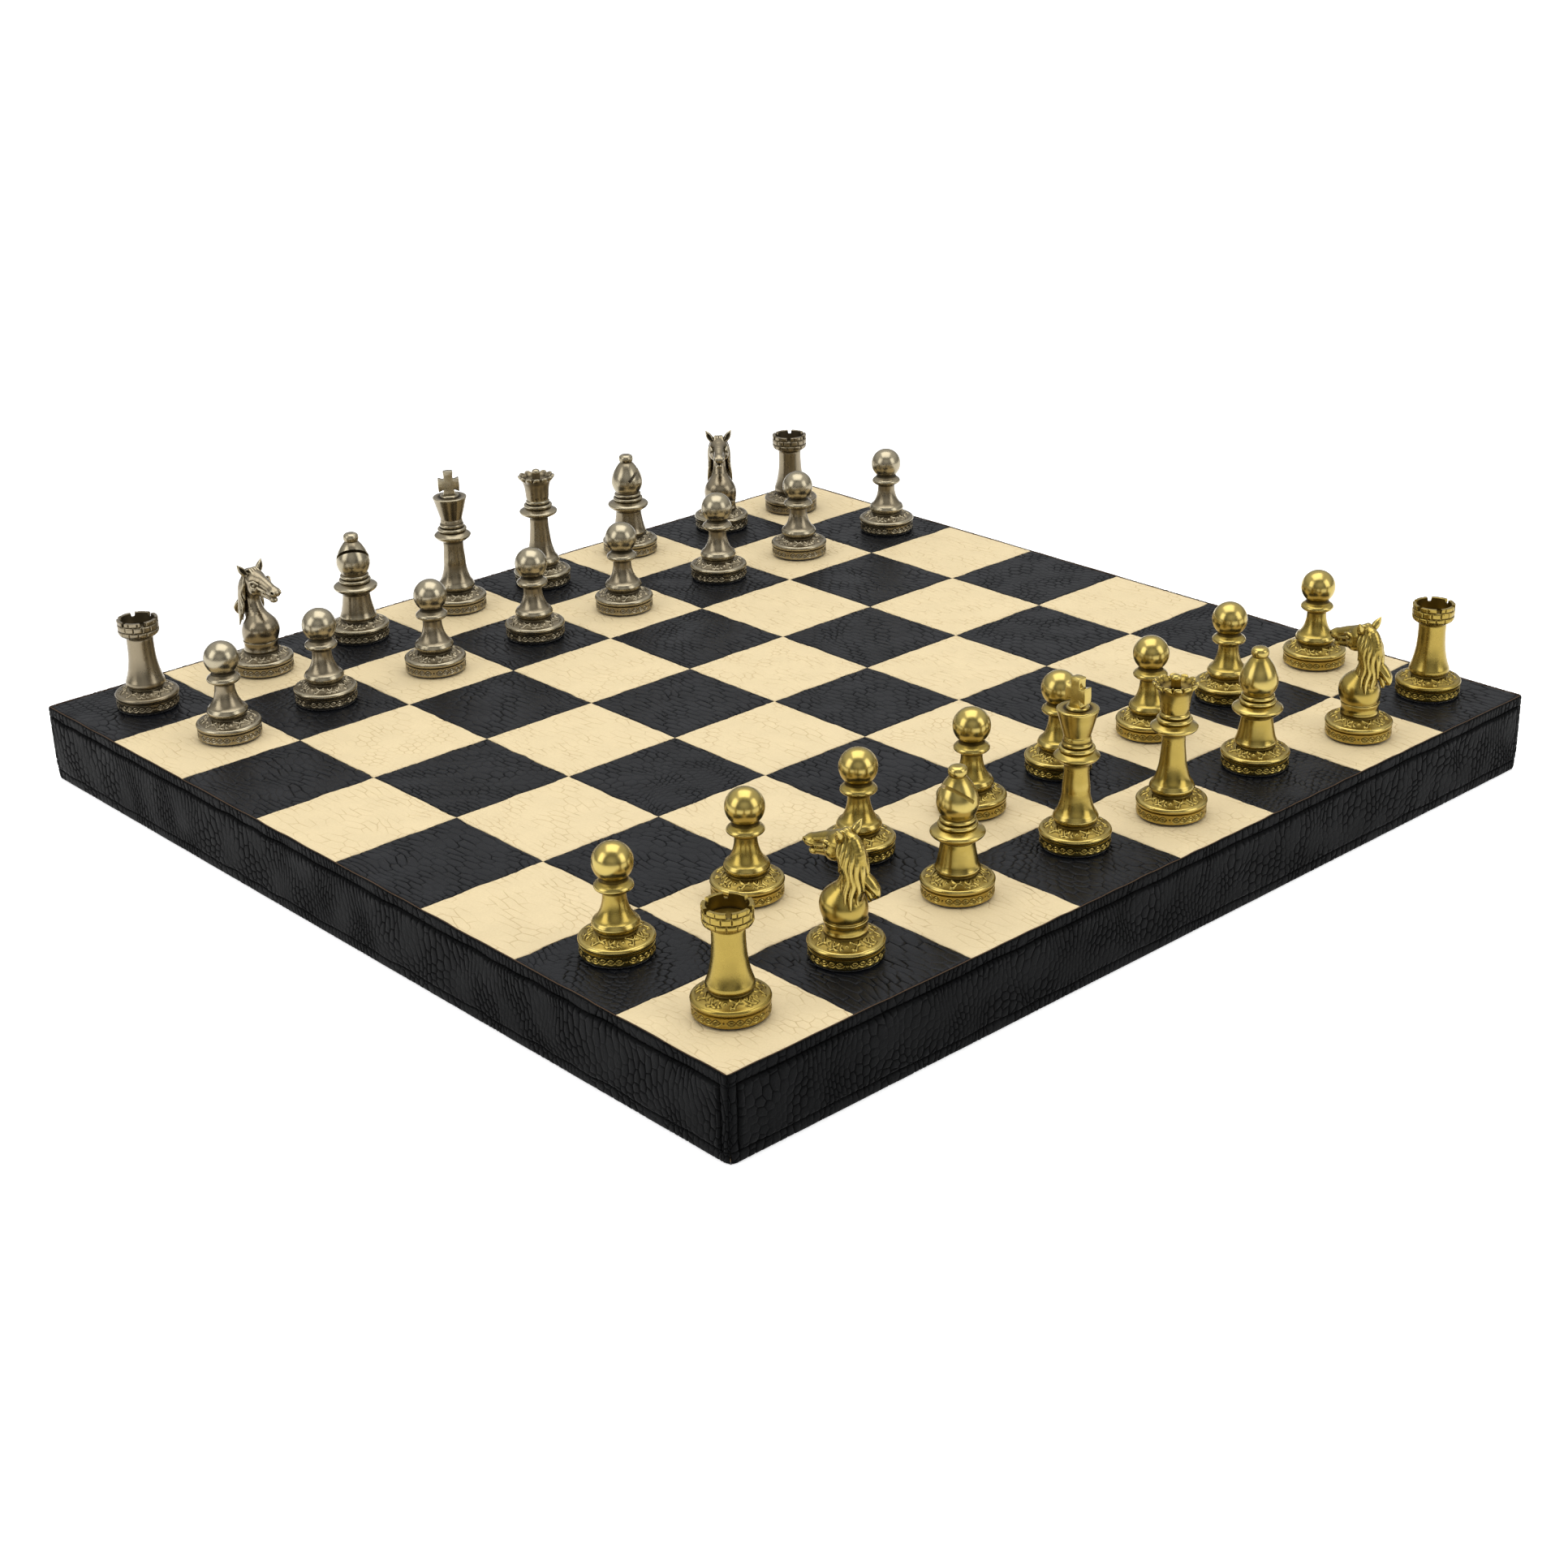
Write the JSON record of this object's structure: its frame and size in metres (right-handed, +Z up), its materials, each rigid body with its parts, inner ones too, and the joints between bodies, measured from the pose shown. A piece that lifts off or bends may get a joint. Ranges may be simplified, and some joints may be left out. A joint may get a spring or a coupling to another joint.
{
  "type": "chess set with board",
  "caption": "Leather-covered chess board set up with turned and cast metal chessmen, each free to lift off its square.",
  "frame": {"origin": "middle of the board's underside, where it stands on a table", "axes": "+Z up from the table; +X along the first ranks, from the corner square by the kings' side to the queens' side; +Y from the gold men's side to the silver men's side"},
  "size_m": [0.403, 0.403, 0.0903],
  "materials": {
    "gold_metal": "polished, dark in the recesses",
    "silver_metal": "satin plated, dark in the recesses",
    "black_leather": "embossed reptile grain",
    "ivory_leather": "embossed reptile grain",
    "fibreboard": "sanded",
    "pine": "planed",
    "felt": "pressed felt"
  },
  "bodies": {
    "board": {"bottom_lining": "felt", "bottom_panel": "fibreboard", "core_ribs": "pine", "dark_squares": "black_leather", "frame_rail_gold": "pine", "frame_rail_kingside": "pine", "frame_rail_queenside": "pine", "frame_rail_silver": "pine", "light_squares": "ivory_leather", "side_strip_gold": "black_leather", "side_strip_kingside": "black_leather", "side_strip_queenside": "black_leather", "side_strip_silver": "black_leather", "side_wrap_gold": "black_leather", "side_wrap_kingside": "black_leather", "side_wrap_queenside": "black_leather", "side_wrap_silver": "black_leather", "top_panel": "fibreboard"},
    "gold_bishop_3": {"gold_bishop_3": "gold_metal"},
    "gold_bishop_6": {"gold_bishop_6": "gold_metal"},
    "gold_king_4": {"gold_king_4": "gold_metal"},
    "gold_knight_2": {"gold_knight_2": "gold_metal"},
    "gold_knight_7": {"gold_knight_7": "gold_metal"},
    "gold_pawn_1": {"gold_pawn_1": "gold_metal"},
    "gold_pawn_2": {"gold_pawn_2": "gold_metal"},
    "gold_pawn_3": {"gold_pawn_3": "gold_metal"},
    "gold_pawn_4": {"gold_pawn_4": "gold_metal"},
    "gold_pawn_5": {"gold_pawn_5": "gold_metal"},
    "gold_pawn_6": {"gold_pawn_6": "gold_metal"},
    "gold_pawn_7": {"gold_pawn_7": "gold_metal"},
    "gold_pawn_8": {"gold_pawn_8": "gold_metal"},
    "gold_queen_5": {"gold_queen_5": "gold_metal"},
    "gold_rook_1": {"gold_rook_1": "gold_metal"},
    "gold_rook_8": {"gold_rook_8": "gold_metal"},
    "silver_bishop_3": {"silver_bishop_3": "silver_metal"},
    "silver_bishop_6": {"silver_bishop_6": "silver_metal"},
    "silver_king_4": {"silver_king_4": "silver_metal"},
    "silver_knight_2": {"silver_knight_2": "silver_metal"},
    "silver_knight_7": {"silver_knight_7": "silver_metal"},
    "silver_pawn_1": {"silver_pawn_1": "silver_metal"},
    "silver_pawn_2": {"silver_pawn_2": "silver_metal"},
    "silver_pawn_3": {"silver_pawn_3": "silver_metal"},
    "silver_pawn_4": {"silver_pawn_4": "silver_metal"},
    "silver_pawn_5": {"silver_pawn_5": "silver_metal"},
    "silver_pawn_6": {"silver_pawn_6": "silver_metal"},
    "silver_pawn_7": {"silver_pawn_7": "silver_metal"},
    "silver_pawn_8": {"silver_pawn_8": "silver_metal"},
    "silver_queen_5": {"silver_queen_5": "silver_metal"},
    "silver_rook_1": {"silver_rook_1": "silver_metal"},
    "silver_rook_8": {"silver_rook_8": "silver_metal"}
  },
  "joints": [
    {"name": "gold_bishop_3_lift", "type": "slide", "parent": "board", "child": "gold_bishop_3", "axis": [0, 0, 1], "range_m": [0, 0.07]},
    {"name": "gold_bishop_6_lift", "type": "slide", "parent": "board", "child": "gold_bishop_6", "axis": [0, 0, 1], "range_m": [0, 0.07]},
    {"name": "gold_king_4_lift", "type": "slide", "parent": "board", "child": "gold_king_4", "axis": [0, 0, 1], "range_m": [0, 0.07]},
    {"name": "gold_knight_2_lift", "type": "slide", "parent": "board", "child": "gold_knight_2", "axis": [0, 0, 1], "range_m": [0, 0.07]},
    {"name": "gold_knight_7_lift", "type": "slide", "parent": "board", "child": "gold_knight_7", "axis": [0, 0, 1], "range_m": [0, 0.07]},
    {"name": "gold_pawn_1_lift", "type": "slide", "parent": "board", "child": "gold_pawn_1", "axis": [0, 0, 1], "range_m": [0, 0.07]},
    {"name": "gold_pawn_2_lift", "type": "slide", "parent": "board", "child": "gold_pawn_2", "axis": [0, 0, 1], "range_m": [0, 0.07]},
    {"name": "gold_pawn_3_lift", "type": "slide", "parent": "board", "child": "gold_pawn_3", "axis": [0, 0, 1], "range_m": [0, 0.07]},
    {"name": "gold_pawn_4_lift", "type": "slide", "parent": "board", "child": "gold_pawn_4", "axis": [0, 0, 1], "range_m": [0, 0.07]},
    {"name": "gold_pawn_5_lift", "type": "slide", "parent": "board", "child": "gold_pawn_5", "axis": [0, 0, 1], "range_m": [0, 0.07]},
    {"name": "gold_pawn_6_lift", "type": "slide", "parent": "board", "child": "gold_pawn_6", "axis": [0, 0, 1], "range_m": [0, 0.07]},
    {"name": "gold_pawn_7_lift", "type": "slide", "parent": "board", "child": "gold_pawn_7", "axis": [0, 0, 1], "range_m": [0, 0.07]},
    {"name": "gold_pawn_8_lift", "type": "slide", "parent": "board", "child": "gold_pawn_8", "axis": [0, 0, 1], "range_m": [0, 0.07]},
    {"name": "gold_queen_5_lift", "type": "slide", "parent": "board", "child": "gold_queen_5", "axis": [0, 0, 1], "range_m": [0, 0.07]},
    {"name": "gold_rook_1_lift", "type": "slide", "parent": "board", "child": "gold_rook_1", "axis": [0, 0, 1], "range_m": [0, 0.07]},
    {"name": "gold_rook_8_lift", "type": "slide", "parent": "board", "child": "gold_rook_8", "axis": [0, 0, 1], "range_m": [0, 0.07]},
    {"name": "silver_bishop_3_lift", "type": "slide", "parent": "board", "child": "silver_bishop_3", "axis": [0, 0, 1], "range_m": [0, 0.07]},
    {"name": "silver_bishop_6_lift", "type": "slide", "parent": "board", "child": "silver_bishop_6", "axis": [0, 0, 1], "range_m": [0, 0.07]},
    {"name": "silver_king_4_lift", "type": "slide", "parent": "board", "child": "silver_king_4", "axis": [0, 0, 1], "range_m": [0, 0.07]},
    {"name": "silver_knight_2_lift", "type": "slide", "parent": "board", "child": "silver_knight_2", "axis": [0, 0, 1], "range_m": [0, 0.07]},
    {"name": "silver_knight_7_lift", "type": "slide", "parent": "board", "child": "silver_knight_7", "axis": [0, 0, 1], "range_m": [0, 0.07]},
    {"name": "silver_pawn_1_lift", "type": "slide", "parent": "board", "child": "silver_pawn_1", "axis": [0, 0, 1], "range_m": [0, 0.07]},
    {"name": "silver_pawn_2_lift", "type": "slide", "parent": "board", "child": "silver_pawn_2", "axis": [0, 0, 1], "range_m": [0, 0.07]},
    {"name": "silver_pawn_3_lift", "type": "slide", "parent": "board", "child": "silver_pawn_3", "axis": [0, 0, 1], "range_m": [0, 0.07]},
    {"name": "silver_pawn_4_lift", "type": "slide", "parent": "board", "child": "silver_pawn_4", "axis": [0, 0, 1], "range_m": [0, 0.07]},
    {"name": "silver_pawn_5_lift", "type": "slide", "parent": "board", "child": "silver_pawn_5", "axis": [0, 0, 1], "range_m": [0, 0.07]},
    {"name": "silver_pawn_6_lift", "type": "slide", "parent": "board", "child": "silver_pawn_6", "axis": [0, 0, 1], "range_m": [0, 0.07]},
    {"name": "silver_pawn_7_lift", "type": "slide", "parent": "board", "child": "silver_pawn_7", "axis": [0, 0, 1], "range_m": [0, 0.07]},
    {"name": "silver_pawn_8_lift", "type": "slide", "parent": "board", "child": "silver_pawn_8", "axis": [0, 0, 1], "range_m": [0, 0.07]},
    {"name": "silver_queen_5_lift", "type": "slide", "parent": "board", "child": "silver_queen_5", "axis": [0, 0, 1], "range_m": [0, 0.07]},
    {"name": "silver_rook_1_lift", "type": "slide", "parent": "board", "child": "silver_rook_1", "axis": [0, 0, 1], "range_m": [0, 0.07]},
    {"name": "silver_rook_8_lift", "type": "slide", "parent": "board", "child": "silver_rook_8", "axis": [0, 0, 1], "range_m": [0, 0.07]}
  ]
}
